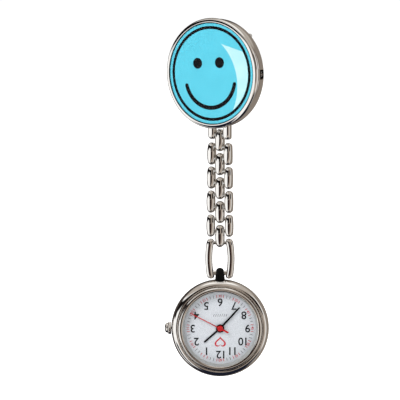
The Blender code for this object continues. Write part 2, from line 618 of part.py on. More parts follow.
def make_movement(frame):
    plate = turned("main_plate", [(0, -0.1), (MOVEMENT_RADIUS, -0.1), (MOVEMENT_RADIUS, -0.6), (0, -0.6)],
                   BRASS, frame, closed=False)
    cut(plate, rod_mesh("centre_hole", 0.4, -1, 1))
    cut(plate, rod_mesh("battery_hole", BATTERY_RADIUS + 0.12, -1, 1, steps=40), (*BATTERY_PLACE, 0))
    cut(plate, box_mesh("stem_slot", (-10, -0.5, -1), (-3.9, 0.5, 1)))
    outline("train_bridge", rounded_box(-5.6, 2.1, -5.8, 5.2, 1.6, 4), -2.3, -1.96, STEEL, frame)
    rotor_distance = (TRAIN_MODULE * (SECONDS_TEETH + STEP_PINION) + STEP_MODULE * (STEP_TEETH + ROTOR_PINION)) / 2
    rotor_way = circle(0.95, 20, at(rotor_distance, STEP_ANGLE))
    outline("stator", rounded_box(-5.0, 0.6, -6.05, -3.2, 0.5, 2), -1.4, -1.1, STEEL, frame, holes=[rotor_way])
    coil = turned("coil", [(0.8, 2.8), (0.8, 2.5), (0.65, 2.5), (0.65, -2.5), (0.8, -2.5), (0.8, -2.8)],
                  COPPER, frame, steps=20, location=(-2.2, -7.15, -1.6), closed=False)
    coil.data.vertices.add(2)
    coil.data.vertices[-2].co = (0, 0, 2.8 * MM)
    coil.data.vertices[-1].co = (0, 0, -2.8 * MM)
    coil.data.edges.add(2)
    coil.data.edges[-2].vertices = (6, 0)
    coil.data.edges[-1].vertices = (5, 7)
    coil.rotation_euler = (0, math.pi / 2, 0)
    outline("circuit_board", [(1.4, 3.3), (6.4, 3.3), (6.0, 5.6), (4.4, 7.4), (1.4, 8.6)], -1.0, -0.75, GREEN, frame)
    turned("battery", [(0, -0.3), (2.9, -0.3), (2.9, -0.5), (BATTERY_RADIUS, -0.5), (BATTERY_RADIUS, -2.35),
                       (0, -2.35)], CHROME, frame, steps=40, location=(*BATTERY_PLACE, 0), closed=False)


def make_crown(frame):
    place("stem", rod_mesh("stem", 0.3, -14.3, -4.2, "X"), STEEL, frame, (0, 0, STEM_DEPTH))
    start = WATCH_RADIUS + 0.1
    rim = [(CROWN_RADIUS - 0.12, -start), (CROWN_RADIUS, -start - 0.15), (CROWN_RADIUS, -start - 0.75),
           (CROWN_RADIUS - 0.25, -start - 1.0), (CROWN_RADIUS - 0.35, -start - 1.35),
           (0.9, -start - CROWN_LENGTH + 0.12), (0, -start - CROWN_LENGTH)]
    bottom = [(0, -start - 1.0), (0.36, -start - 1.0), (0.36, -start)]
    crown = turned("crown", rim + bottom, CHROME, frame, steps=32, location=(0, 0, STEM_DEPTH), closed=False)
    crown.data.edges.add(1)
    crown.data.edges[-1].vertices = (len(rim + bottom) - 1, 0)
    crown.rotation_euler = (0, math.pi / 2, 0)


brooch_frame = axes("brooch_frame", (0, 0, 0), faces_viewer=True)
make_brooch(brooch_frame)
make_clip(brooch_frame)
make_chain()
make_end_link()
bar_height = FIRST_PIN - PIN_PITCH * (HINGES - 2) - END_LINK_DROP
watch_frame = axes("watch_frame", (0, CHAIN_DEPTH, bar_height - WATCH_DROP), CHAIN_TWIST, faces_viewer=True)
make_case(watch_frame)
make_eyelet(watch_frame, WATCH_DROP)
make_dial_side(watch_frame)
make_hands(watch_frame)
make_train(watch_frame)
make_movement(watch_frame)
make_crown(watch_frame)
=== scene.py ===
"""A nurse's fob watch: enamelled clip-on brooch, brick-link chain and quartz watch, seen from its front."""

import math

import bmesh
import bpy
from mathutils import Matrix, Quaternion, Vector
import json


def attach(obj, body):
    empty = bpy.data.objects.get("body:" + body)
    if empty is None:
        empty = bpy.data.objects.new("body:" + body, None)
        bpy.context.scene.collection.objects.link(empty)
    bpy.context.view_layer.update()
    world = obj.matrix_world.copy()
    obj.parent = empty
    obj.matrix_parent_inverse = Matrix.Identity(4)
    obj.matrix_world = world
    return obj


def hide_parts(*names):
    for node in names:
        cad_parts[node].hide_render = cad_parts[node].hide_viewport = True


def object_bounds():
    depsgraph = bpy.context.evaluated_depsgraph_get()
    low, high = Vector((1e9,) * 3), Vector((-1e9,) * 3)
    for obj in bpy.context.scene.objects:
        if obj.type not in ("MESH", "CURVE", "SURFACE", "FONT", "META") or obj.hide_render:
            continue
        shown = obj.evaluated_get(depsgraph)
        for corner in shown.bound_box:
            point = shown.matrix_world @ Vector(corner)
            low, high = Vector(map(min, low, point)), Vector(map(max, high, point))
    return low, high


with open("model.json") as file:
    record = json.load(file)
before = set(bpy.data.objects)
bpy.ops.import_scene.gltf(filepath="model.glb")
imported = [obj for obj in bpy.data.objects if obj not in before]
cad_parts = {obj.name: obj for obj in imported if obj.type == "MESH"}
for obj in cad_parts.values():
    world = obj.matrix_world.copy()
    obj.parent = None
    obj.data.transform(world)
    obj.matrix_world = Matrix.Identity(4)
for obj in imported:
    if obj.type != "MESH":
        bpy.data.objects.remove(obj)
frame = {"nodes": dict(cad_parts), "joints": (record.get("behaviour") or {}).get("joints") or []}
cad_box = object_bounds()

# lengths below are in millimetres and angles in degrees, unless their comment says otherwise
MM = 0.001
joints = {j["name"]: j for j in frame["joints"]}
HINGES = 11
pins = [None] + [Vector(joints[f"chain_hinge_{k}"]["pos_m"]) for k in range(1, HINGES + 1)]
watch_out = -Vector(joints["seconds_turn"]["axis"])
watch_centre = Vector(joints["seconds_turn"]["pos_m"])
TWIST = math.atan2(watch_out.x, -watch_out.y)
FACE_UP = Matrix.Rotation(math.pi / 2, 4, "X")
# frames in which pieces are drawn face up: x right, y up, z towards the viewer
BROOCH = FACE_UP.copy()
WATCH = Matrix.Translation(watch_centre) @ Matrix.Rotation(TWIST, 4, "Z") @ FACE_UP

scene = bpy.context.scene
scene.view_settings.view_transform = "Standard"


# ------------------------------------------------------------------ materials
def new_material(name, colour, roughness, metallic=0.0):
    mat = bpy.data.materials.new(name)
    mat.use_nodes = True
    shader = mat.node_tree.nodes["Principled BSDF"]
    shader.inputs["Base Color"].default_value = (*colour, 1.0)
    shader.inputs["Roughness"].default_value = roughness
    shader.inputs["Metallic"].default_value = metallic
    return mat, mat.node_tree, shader


def object_noise(tree, scale, detail=3.0, stretch=(1.0, 1.0, 1.0)):
    """A noise texture on the object's own coordinates, which are the row frame's metres."""
    coords = tree.nodes.new("ShaderNodeTexCoord")
    mapping = tree.nodes.new("ShaderNodeMapping")
    mapping.inputs["Scale"].default_value = stretch
    noise = tree.nodes.new("ShaderNodeTexNoise")
    noise.inputs["Scale"].default_value = scale
    noise.inputs["Detail"].default_value = detail
    tree.links.new(coords.outputs["Object"], mapping.inputs["Vector"])
    tree.links.new(mapping.outputs["Vector"], noise.inputs["Vector"])
    return noise


def vary(tree, socket, noise, low, high):
    """Drives a number socket by the noise, between low and high."""
    spread = tree.nodes.new("ShaderNodeMapRange")
    spread.inputs["From Min"].default_value = 0.3
    spread.inputs["From Max"].default_value = 0.7
    spread.inputs["To Min"].default_value = low
    spread.inputs["To Max"].default_value = high
    tree.links.new(noise.outputs["Fac"], spread.inputs["Value"])
    tree.links.new(spread.outputs["Result"], socket)


def tint(tree, socket, noise, dark, light):
    """Drives a colour socket by the noise, between two colours."""
    ramp = tree.nodes.new("ShaderNodeValToRGB")
    ramp.color_ramp.elements[0].position = 0.32
    ramp.color_ramp.elements[1].position = 0.68
    ramp.color_ramp.elements[0].color = (*dark, 1.0)
    ramp.color_ramp.elements[1].color = (*light, 1.0)
    tree.links.new(noise.outputs["Fac"], ramp.inputs["Fac"])
    tree.links.new(ramp.outputs["Color"], socket)


def bump(tree, shader, noise, strength, distance):
    node = tree.nodes.new("ShaderNodeBump")
    node.inputs["Strength"].default_value = strength
    node.inputs["Distance"].default_value = distance
    tree.links.new(noise.outputs["Fac"], node.inputs["Height"])
    tree.links.new(node.outputs["Normal"], shader.inputs["Normal"])


def metal(name, dark, light, roughness, grain, stretch=(1, 1, 1), relief=0.0):
    mat, tree, shader = new_material(name, light, sum(roughness) / 2, metallic=1.0)
    noise = object_noise(tree, grain, 4.0, stretch)
    tint(tree, shader.inputs["Base Color"], noise, dark, light)
    vary(tree, shader.inputs["Roughness"], noise, *roughness)
    if relief:
        bump(tree, shader, noise, relief, 0.00005)
    return mat


def paint(name, dark, light, roughness, grain=1500.0, relief=0.0, gloss=0.5):
    mat, tree, shader = new_material(name, light, sum(roughness) / 2)
    shader.inputs["Specular IOR Level"].default_value = gloss
    noise = object_noise(tree, grain)
    tint(tree, shader.inputs["Base Color"], noise, dark, light)
    vary(tree, shader.inputs["Roughness"], noise, *roughness)
    if relief:
        bump(tree, shader, noise, relief, 0.00003)
    return mat


def clear(name, ior):
    """A thin clear wall: what is behind shows straight through it, under a Fresnel gloss."""
    mat = bpy.data.materials.new(name)
    mat.use_nodes = True
    tree = mat.node_tree
    tree.nodes.clear()
    out = tree.nodes.new("ShaderNodeOutputMaterial")
    mix = tree.nodes.new("ShaderNodeMixShader")
    through = tree.nodes.new("ShaderNodeBsdfTransparent")
    gloss = tree.nodes.new("ShaderNodeBsdfGlossy")
    gloss.inputs["Roughness"].default_value = 0.02
    fresnel = tree.nodes.new("ShaderNodeFresnel")
    fresnel.inputs["IOR"].default_value = ior
    tree.links.new(fresnel.outputs["Fac"], mix.inputs["Fac"])
    tree.links.new(through.outputs["BSDF"], mix.inputs[1])
    tree.links.new(gloss.outputs["BSDF"], mix.inputs[2])
    tree.links.new(mix.outputs["Shader"], out.inputs["Surface"])
    return mat


# name, dark and light colour, roughness range, then grain and what else differs
CHROME = metal("chrome_plate", (0.80, 0.78, 0.75), (0.85, 0.83, 0.80), (0.03, 0.06), 700.0)
SATIN = metal("satin_steel", (0.50, 0.49, 0.47), (0.62, 0.61, 0.59), (0.25, 0.38), 500.0, (1, 1, 14), 0.25)
PIN_STEEL = metal("pin_steel", (0.55, 0.54, 0.52), (0.68, 0.67, 0.65), (0.16, 0.24), 2200.0, (0.1, 1, 1))
BRASS = metal("gilt_brass", (0.66, 0.50, 0.22), (0.80, 0.63, 0.32), (0.22, 0.34), 900.0, (1, 1, 6), 0.15)
COPPER = metal("coil_wire", (0.50, 0.20, 0.08), (0.75, 0.36, 0.17), (0.25, 0.4), 5000.0, (12, 12, 1), 0.6)
NICKEL = metal("cell_nickel", (0.66, 0.65, 0.62), (0.76, 0.75, 0.72), (0.18, 0.28), 1200.0)
DARK_STEEL = metal("dark_steel", (0.16, 0.16, 0.17), (0.26, 0.26, 0.27), (0.28, 0.4), 1500.0)
BLUE = paint("blue_enamel", (0.070, 0.385, 0.49), (0.078, 0.41, 0.52), (0.35, 0.45), 260.0, gloss=0.1)
PALE = paint("pale_print", (0.31, 0.54, 0.57), (0.37, 0.58, 0.60), (0.35, 0.45), 300.0, gloss=0.1)
INK = paint("black_print", (0.002, 0.002, 0.003), (0.004, 0.004, 0.005), (0.35, 0.45), 1200.0, gloss=0.05)
DIAL = paint("dial_silver", (0.40, 0.425, 0.455), (0.56, 0.58, 0.61), (0.45, 0.6), 5200.0,
             relief=0.2, gloss=0.3)
GREY_PRINT = paint("grey_print", (0.008, 0.009, 0.010), (0.016, 0.018, 0.02), (0.4, 0.55), 3000.0,
                   gloss=0.2)
TICK_GREY = paint("tick_grey", (0.10, 0.10, 0.11), (0.15, 0.15, 0.16), (0.4, 0.55), 3000.0, gloss=0.2)
RED_PRINT = paint("red_print", (0.40, 0.02, 0.03), (0.46, 0.035, 0.045), (0.35, 0.5), 3000.0, gloss=0.2)
CHAPTER = paint("chapter_grey", (0.36, 0.37, 0.36), (0.44, 0.45, 0.44), (0.4, 0.55), 2600.0)
HAND_BLACK = paint("hand_black", (0.002, 0.002, 0.003), (0.005, 0.005, 0.006), (0.12, 0.2), 1800.0,
                   gloss=0.3)
HAND_RED = paint("hand_red", (0.36, 0.006, 0.008), (0.42, 0.010, 0.012), (0.2, 0.3), 1800.0, gloss=0.35)
LOOP_BLACK = paint("loop_black", (0.001, 0.001, 0.001), (0.003, 0.003, 0.003), (0.4, 0.55), 1300.0,
                   relief=0.1, gloss=0.1)
BOARD = paint("board_lacquer", (0.015, 0.12, 0.05), (0.03, 0.20, 0.09), (0.3, 0.5), 1800.0)
PLASTIC = paint("white_plastic", (0.62, 0.62, 0.59), (0.74, 0.74, 0.71), (0.4, 0.55), 900.0, relief=0.1)
RUBBER = paint("gasket_rubber", (0.008, 0.008, 0.008), (0.02, 0.02, 0.02), (0.6, 0.8), 1500.0, relief=0.2)
DOME_CLEAR = clear("dome_resin", 1.1)
CRYSTAL_CLEAR = clear("crystal_glass", 1.16)


# ------------------------------------------------------------------ mesh helpers
def finish_piece(obj, body, replaced=()):
    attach(obj, body)
    if replaced:
        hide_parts(*replaced)
    return obj


def smooth_but_sharp(mesh, angle):
    """Smooth shading, with edges kept sharp that turn by more than the angle."""
    mesh.shade_smooth()
    mesh.set_sharp_from_angle(angle=math.radians(angle))


def mesh_from(name, bm, matrix):
    """A mesh drawn in millimetres in some frame becomes one in the row frame's metres."""
    bmesh.ops.scale(bm, vec=(MM, MM, MM), verts=bm.verts)
    bmesh.ops.transform(bm, matrix=matrix, verts=bm.verts)
    bmesh.ops.recalc_face_normals(bm, faces=bm.faces)
    mesh = bpy.data.meshes.new(name)
    bm.to_mesh(mesh)
    bm.free()
    return mesh


def piece_from(name, bm, matrix, look, body, replaced=(), angle=40):
    mesh = mesh_from(name, bm, matrix)
    mesh.materials.append(look)
    smooth_but_sharp(mesh, angle)
    obj = bpy.data.objects.new(name, mesh)
    scene.collection.objects.link(obj)
    return finish_piece(obj, body, replaced)


def skin(bm, rings, closed_loop=False):
    """Joins rings of equal length with quads; a ring of one vertex is a pole."""
    pairs = list(zip(rings, rings[1:]))
    if closed_loop:
        pairs.append((rings[-1], rings[0]))
    for a, b in pairs:
        count = max(len(a), len(b))
        for i in range(count):
            k = (i + 1) % count
            if len(a) == 1:
                bm.faces.new((a[0], b[k], b[i]))
            elif len(b) == 1:
                bm.faces.new((a[i], a[k], b[0]))
            else:
                bm.faces.new((a[i], a[k], b[k], b[i]))


def lathe(name, profile, matrix, look, body, replaced=(), steps=128, closed=True, wave=None, angle=40):
    """Turns (radius, height) points about Z. wave(angle, radius, height) scales the radius, for fluting."""
    bm = bmesh.new()
    rings = []
    for radius, height in profile:
        if radius == 0:
            rings.append([bm.verts.new((0, 0, height))])
            continue
        ring = []
        for i in range(steps):
            around = 2 * math.pi * i / steps
            r = radius * (wave(around, radius, height) if wave else 1.0)
            ring.append(bm.verts.new((r * math.cos(around), r * math.sin(around), height)))
        rings.append(ring)
    skin(bm, rings, closed_loop=closed)
    return piece_from(name, bm, matrix, look, body, replaced, angle)


def rounded(points, radius, steps=4):
    """A closed outline with each corner rounded by up to that radius."""
    out = []
    count = len(points)
    for i, point in enumerate(points):
        here = Vector(point)
        before = Vector(points[i - 1]) - here
        after = Vector(points[(i + 1) % count]) - here
        reach = min(radius, before.length * 0.45, after.length * 0.45)
        a = here + before.normalized() * reach
        b = here + after.normalized() * reach
        for s in range(steps + 1):
            t = s / steps
            out.append(tuple(a * (1 - t) ** 2 + here * 2 * t * (1 - t) + b * t ** 2))
    return out


def circle(radius, steps=48, centre=(0, 0)):
    turns = [2 * math.pi * i / steps for i in range(steps)]
    return [(centre[0] + radius * math.cos(a), centre[1] + radius * math.sin(a)) for a in turns]


def arc(radius, start, end, steps=32, centre=(0, 0)):
    turns = [math.radians(start + (end - start) * i / steps) for i in range(steps + 1)]
    return [(centre[0] + radius * math.cos(a), centre[1] + radius * math.sin(a)) for a in turns]


def baked(holder):
    """The mesh that an object makes with its modifiers or its curve's settings."""
    return bpy.data.meshes.new_from_object(holder.evaluated_get(bpy.context.evaluated_depsgraph_get()))


def outline_mesh(name, rings, low, high, bevel=0.0):
    """Extrudes flat outlines, inner ones being holes, from low to high."""
    curve = bpy.data.curves.new(name, "CURVE")
    curve.dimensions = "2D"
    curve.fill_mode = "BOTH"
    curve.extrude = (high - low) / 2 - bevel
    curve.bevel_depth = bevel
    curve.bevel_resolution = 2
    curve.offset = -bevel
    for ring in rings:
        spline = curve.splines.new("POLY")
        spline.points.add(len(ring) - 1)
        spline.use_cyclic_u = True
        for point, (x, y) in zip(spline.points, ring):
            point.co = (x, y, 0, 1)
    holder = bpy.data.objects.new(name + "_outline", curve)
    scene.collection.objects.link(holder)
    mesh = baked(holder)
    bpy.data.objects.remove(holder, do_unlink=True)
    bm = bmesh.new()
    bm.from_mesh(mesh)
    bpy.data.meshes.remove(mesh)
    bmesh.ops.remove_doubles(bm, verts=bm.verts, dist=0.0005)
    bmesh.ops.translate(bm, vec=(0, 0, (high + low) / 2), verts=bm.verts)
    return bm


def plate(name, rings, low, high, matrix, look, body, replaced=(), bevel=0.0):
    bm = outline_mesh(name, rings, low, high, bevel)
    return piece_from(name, bm, matrix, look, body, replaced)


def stroke(points, width, cap=8):
    """The outline of a line of even width with round ends."""
    half = width / 2
    left, right = [], []
    for i, point in enumerate(points):
        before = Vector(points[max(i - 1, 0)])
        after = Vector(points[min(i + 1, len(points) - 1)])
        along = (after - before).normalized()
        side = Vector((-along.y, along.x)) * half
        left.append(Vector(point) + side)
        right.append(Vector(point) - side)

    def end(centre, start):
        radius = start - centre
        return [centre + Matrix.Rotation(-math.pi * s / cap, 2) @ radius for s in range(1, cap)]
    first, last = Vector(points[0]), Vector(points[-1])
    outline = left + end(last, left[-1]) + right[::-1] + end(first, right[0])
    return [tuple(p) for p in outline]


def carve(obj, bm, matrix, angle=40):
    """Cuts a tool, drawn in millimetres, out of a piece and applies it."""
    tool = bpy.data.objects.new("tool", mesh_from("tool", bm, matrix))
    scene.collection.objects.link(tool)
    boolean = obj.modifiers.new("carve", "BOOLEAN")
    boolean.operation = "DIFFERENCE"
    boolean.solver = "EXACT"
    boolean.object = tool
    cut_mesh = baked(obj)
    obj.modifiers.clear()
    obj.data = cut_mesh
    smooth_but_sharp(cut_mesh, angle)
    bpy.data.objects.remove(tool, do_unlink=True)


def box_tool(low, high):
    bm = bmesh.new()
    size = [b - a for a, b in zip(low, high)]
    middle = [(a + b) / 2 for a, b in zip(low, high)]
    place = Matrix.Translation(middle) @ Matrix.Diagonal((*size, 1))
    bmesh.ops.create_cube(bm, size=1.0, matrix=place)
    return bm


def rod_tool(radius, low, high):
    """A round rod along X."""
    bm = bmesh.new()
    place = Matrix.Rotation(math.pi / 2, 4, "Y") @ Matrix.Translation((0, 0, (high + low) / 2))
    bmesh.ops.create_cone(bm, cap_ends=True, segments=32, radius1=radius, radius2=radius,
                          depth=high - low, matrix=place)
    return bm


SIDES = ((-1, "left"), (1, "right"))


# ------------------------------------------------------------------ brooch
RIM_BACK, RIM_FRONT, RIM_RADIUS = -1.6, 2.6, 15.2
BARREL_RADIUS, BORE_RADIUS = 14.9, 14.1
COVER_RADIUS, COVER_TOP = 14.0, 0.5
BADGE_RADIUS, BADGE_BASE, BADGE_TOP = 13.9, 1.46, 2.3
PRINT_TOP = BADGE_TOP + 0.025
DOME_RADIUS, DOME_EDGE, DOME_CROWN = 13.82, 2.62, 3.5
AXLE_HEIGHT = -0.95
# the printed face leans a little to the left
ART = BROOCH @ Matrix.Rotation(math.radians(3.0), 4, "Z")


def make_rim():
    inside = [(14.55, RIM_BACK), (BORE_RADIUS, RIM_BACK), (BORE_RADIUS, 0.55), (12.9, 0.55), (12.9, 1.4),
              (13.98, 1.4), (13.98, 2.1)]
    # the lip is highest beside the dome, slopes gently outwards and then rolls over to the barrel
    lip = [(14.0, 2.5), (14.03, 2.57), (14.09, RIM_FRONT), (14.2, 2.59), (14.35, 2.555), (14.5, 2.518),
           (14.65, 2.478), (14.8, 2.43), (14.92, 2.34), (15.02, 2.2), (15.1, 2.02), (15.16, 1.82),
           (RIM_RADIUS, 1.6), (15.19, 1.5), (15.12, 1.43), (15.0, 1.4)]
    barrel = [(BARREL_RADIUS, 1.36), (14.84, 1.28), (BARREL_RADIUS, 1.2), (BARREL_RADIUS, -1.25),
              (14.82, -1.45), (14.68, -1.57)]
    rim = lathe("brooch_rim", inside + lip + barrel, BROOCH, CHROME, "brooch",
                ("brooch_case",), steps=180)
    window_half, window_low, window_high = 1.35, -1.4, 0.45
    for side, _ in SIDES:
        low, high = sorted((side * 14.05, side * 16.0))
        carve(rim, box_tool((low, -window_half, window_low), (high, window_half, window_high)), BROOCH)


def pillow(name, matrix, body, replaced=(), centre=0.0, half_width=1.0, top=0.0, bottom=0.0, half_depth=1.0,
           bow=None, rows=36, around=40, nose=(3.2, 3.3), heel=(3.0, 0.8), back=0.85, section=(2.2, 5.0)):
    """A cast link: a bar along Z with an oval dome in front and a squarer back, whose ends round off.

    bow(t) gives the (centre, half width) along the bar, with t from -1 at the bottom to 1 at the top.
    nose and heel are how far from the top and bottom end the dome starts to narrow, in width and in depth;
    back is the same for the back of the bar. section is how square the front and the back are.
    """
    bm = bmesh.new()
    middle, half = (top + bottom) / 2, (top - bottom) / 2
    rings = []
    for i in range(rows + 1):
        t = -math.cos(math.pi * i / rows)
        height = middle + half * t
        shift, wide = bow(t) if bow else (centre, half_width)
        if i in (0, rows):
            rings.append([bm.verts.new((shift, 0, height))])
            continue
        from_end = half * (1 - abs(t))
        reaches = (*(nose if t > 0 else heel), back)
        front_x, front_y, rear = (math.sqrt(1 - max(0.0, 1 - from_end / reach) ** 2) for reach in reaches)
        ring = []
        for k in range(around):
            angle = 2 * math.pi * (k + 0.5) / around
            c, s = math.cos(angle), math.sin(angle)
            power = 2 / section[1 if s > 0 else 0]
            share = (1 + s) / 2
            x = math.copysign(abs(c) ** power, c) * wide * (front_x + (rear - front_x) * share)
            y = math.copysign(abs(s) ** power, s) * half_depth * (front_y + (rear - front_y) * share)
            ring.append(bm.verts.new((shift + x, y, height)))
        rings.append(ring)
    skin(bm, rings)
    piece_from(name, bm, matrix, CHROME, body, replaced, angle=70)


def make_lugs():
    """Two short bars under the rim, cast like the links."""
    at_pin = Matrix.Translation(pins[1])
    for side, word in SIDES:
        pillow(f"lug_{word}", at_pin, "brooch", centre=side * 2.51, half_width=1.14, top=3.1, bottom=-1.22,
               half_depth=0.95, nose=(0.4, 0.3), heel=(1.7, 0.8), back=0.4, section=(2.4, 5.0))


def make_badge():
    body, slot = "brooch", "badge_enamel"
    disc = [(0, BADGE_TOP), (13.7, BADGE_TOP), (13.86, BADGE_TOP - 0.04), (BADGE_RADIUS, BADGE_TOP - 0.12),
            (BADGE_RADIUS, BADGE_BASE), (0, BADGE_BASE)]
    lathe("badge_plate", disc, BROOCH, BLUE, body, ("badge_disc",), steps=160, closed=False)
    ring_inner, ring_outer = 12.2, 13.02
    ring = [(ring_inner, PRINT_TOP), (ring_outer, PRINT_TOP), (ring_outer, BADGE_TOP),
            (ring_inner, BADGE_TOP)]
    lathe("badge_ring", ring, BROOCH, INK, body, steps=160)
    eye_radius, eye_apart, eye_height, face_shift = 1.5, 3.65, 2.9, 0.75
    for side, word in SIDES:
        eye = circle(eye_radius, centre=(side * eye_apart - face_shift, eye_height))
        plate(f"badge_eye_{word}", [eye], BADGE_TOP, PRINT_TOP, ART, INK, body)
    smile = stroke(arc(8.15, 193, 347, 64, (-0.4, -1.25)), 1.15)
    plate("badge_smile", [smile], BADGE_TOP, PRINT_TOP, ART, INK, body)
    # the pale crescent lies between the ring and an arc about a point on the other side of the centre
    inner = arc(14.95, -27.0, 50.4, 40, (-6.3, -3.3))
    outer = arc(12.15, 31.0, -55.0, 40)
    plate("badge_gleam", [inner + outer], BADGE_TOP, PRINT_TOP - 0.01, BROOCH, PALE, body)
    # a thin black ring round the dome's edge: painted shade standing in for the shadowed gap between the
    # dome and the lip
    shadow_line = [(13.84, BADGE_TOP), (13.84, 2.5), (13.9, 2.56), (13.98, 2.52), (13.98, BADGE_TOP)]
    lathe("badge_shadow_line", shadow_line, BROOCH, INK, body, steps=160)
    radii = [13.7 * i / 24 for i in range(25)]
    dome = [(r, DOME_EDGE + (DOME_CROWN - DOME_EDGE) * (1 - (r / BADGE_RADIUS) ** 2)) for r in radii]
    base = BADGE_TOP + 0.06
    dome += [(13.79, DOME_EDGE - 0.06), (DOME_RADIUS, DOME_EDGE - 0.15), (DOME_RADIUS, base), (0, base)]
    lathe("badge_dome", dome, BROOCH, DOME_CLEAR, body, ("dome_lens",), steps=160,
          closed=False)


def make_back_cover():
    """The plate that lies on the garment, with a shallow ring turned into it."""
    face = [(0, 0), (11.4, 0), (11.5, 0.06), (11.7, 0.1), (11.9, 0.06), (12.0, 0), (13.8, 0), (13.95, 0.08)]
    edge = [(COVER_RADIUS, 0.2), (COVER_RADIUS, COVER_TOP), (0, COVER_TOP)]
    lathe("cover_plate", face + edge, BROOCH, SATIN, "brooch", ("back_cover",), closed=False)


# the clip's sheet seen from the side: up the brooch and out of its face, from the jaw to the thumb plate
CLIP_LINE = [(-11.45, -0.35), (-11.42, -0.95), (-11.1, -1.45), (-10.4, -1.72), (-9.0, -1.8), (-6.0, -1.9),
             (-3.0, -2.0), (-1.5, -2.05), (0.0, -2.05), (1.5, -2.08), (3.0, -2.38), (4.5, -3.02),
             (6.0, -3.8), (7.5, -4.62), (9.0, -5.5), (10.2, -6.2), (10.62, -6.45)]
CLIP_HALF_THICK = 0.28
CLIP_HALF_WIDE = 5.2


def clip_half_width(y):
    """Half the lever's width: broad at the thumb plate and at the ears, with rounded ends."""
    if y > 4.8:
        grow = min(1.0, (y - 4.8) / 2.4)
        wide = CLIP_HALF_WIDE + 2.75 * grow * grow * (3 - 2 * grow)
        return wide - 0.5 * max(0.0, (y - 9.3) / 1.32) ** 3
    if abs(y) < 1.6:
        return CLIP_HALF_WIDE + 0.95 * (1 - (y / 1.6) ** 2)
    return CLIP_HALF_WIDE - 0.5 * max(0.0, (-y - 10.2) / 1.3) ** 2


def clip_rib(x, y):
    """How far the two pressed ribs stand back, fading out at the axle and at both ends."""
    height = 0.16 * math.exp(-((abs(x) - 2.6) / 0.38) ** 2)
    return height * min(1.0, max(0.0, (abs(y) - 2.0) / 1.2)) * min(1.0, max(0.0, (9.6 - abs(y)) / 1.0))


def make_clip():
    """The clip's lever: a bent sheet with a toothed jaw, two ribs, a broad thumb plate and two ears."""
    across = 32
    bm = bmesh.new()
    fronts, backs = [], []
    for i, (y, z) in enumerate(CLIP_LINE):
        before = Vector(CLIP_LINE[max(i - 1, 0)])
        after = Vector(CLIP_LINE[min(i + 1, len(CLIP_LINE) - 1)])
        along = (after - before).normalized()
        normal = Vector((-along.y, along.x))
        wide = clip_half_width(y)
        front, back = [], []
        for k in range(across + 1):
            t = -1 + 2 * k / across
            x = t * wide
            tooth = 0.5 * (k % 2) if i == 0 else 0.0
            half_thick = CLIP_HALF_THICK * min(1.0, ((1 - abs(t)) * wide + 0.06) / 0.2)
            centre = Vector((y, z)) - normal * clip_rib(x, y) + along * tooth
            a, b = centre + normal * half_thick, centre - normal * half_thick
            front.append(bm.verts.new((x, a.x, a.y)))
            back.append(bm.verts.new((x, b.x, b.y)))
        fronts.append(front)
        backs.append(back)
    for i in range(len(CLIP_LINE) - 1):
        for k in range(across):
            bm.faces.new((fronts[i][k], fronts[i][k + 1], fronts[i + 1][k + 1], fronts[i + 1][k]))
            bm.faces.new((backs[i][k], backs[i + 1][k], backs[i + 1][k + 1], backs[i][k + 1]))
        for k in (0, across):
            bm.faces.new((fronts[i][k], fronts[i + 1][k], backs[i + 1][k], backs[i][k]))
    for row in (0, -1):
        for k in range(across):
            bm.faces.new((fronts[row][k], fronts[row][k + 1], backs[row][k + 1], backs[row][k]))
    piece_from("clip_plate", bm, BROOCH, SATIN, "clip", ("clip_lever",))
    ear = arc(0.8, 0, 180, 20) + [(-0.8, -0.9), (0.8, -0.9)]
    at_axle = BROOCH @ Matrix.Translation((0, 0, AXLE_HEIGHT * MM))
    turn = at_axle @ Matrix.Rotation(math.pi / 2, 4, "X") @ Matrix.Rotation(math.pi / 2, 4, "Y")
    for side, word in SIDES:
        low, high = sorted((side * 5.4, side * 6.1))
        plate(f"clip_ear_{word}", [ear, circle(0.45, 24)], low, high, turn, SATIN, "clip")


def make_bushings():
    """Bushings behind the barrel's two windows, in which the clip's axle turns; their black is painted shade
    for the dark inside of the barrel.
    """
    shape = rounded([(-1.32, -1.5), (1.32, -1.5), (1.32, 0.0), (-1.32, 0.0)], 0.2)
    turn = BROOCH @ Matrix(((0, 0, 1, 0), (1, 0, 0, 0), (0, 1, 0, 0), (0, 0, 0, 1)))
    hole = circle(0.42, 32, (0, AXLE_HEIGHT))
    for side, word in SIDES:
        low, high = sorted((side * 13.2, side * 14.0))
        # the black look here is painted shade: the windows show the unlit inside of the barrel
        plate(f"axle_bushing_{word}", [shape, hole], low, high, turn, LOOP_BLACK, "brooch")


def make_spring():
    """The torsion spring on the clip's axle, its two legs bearing on the cover and on the lever."""
    start, turns, pitch, coil = -2.0, 3.5, 0.45, 0.58
    points = [(start, 4.5, AXLE_HEIGHT), (start, 2.6, AXLE_HEIGHT + 0.02), (start, 0.9, AXLE_HEIGHT)]
    for i in range(int(turns * 28) + 1):
        a = 2 * math.pi * i / 28
        points.append((start + pitch * i / 28, coil * math.cos(a), AXLE_HEIGHT + coil * math.sin(a)))
    points += [(start + pitch * turns, -0.9, AXLE_HEIGHT), (start + pitch * turns, -4.5, AXLE_HEIGHT)]
    curve = bpy.data.curves.new("spring_wire", "CURVE")
    curve.dimensions = "3D"
    curve.bevel_depth = 0.105 * MM
    curve.bevel_resolution = 4
    curve.use_fill_caps = True
    spline = curve.splines.new("POLY")
    spline.points.add(len(points) - 1)
    for point, place in zip(spline.points, points):
        point.co = (*(BROOCH @ (Vector(place) * MM)), 1.0)
    curve.materials.append(PIN_STEEL)
    wire = bpy.data.objects.new("spring_wire", curve)
    scene.collection.objects.link(wire)
    finish_piece(wire, "brooch", ("clip_spring",))


# ------------------------------------------------------------------ chain
LINK_OVERHANG = 1.44
LINK_SHIFT = 0.23
LINK_HALF_DEPTH = 1.09


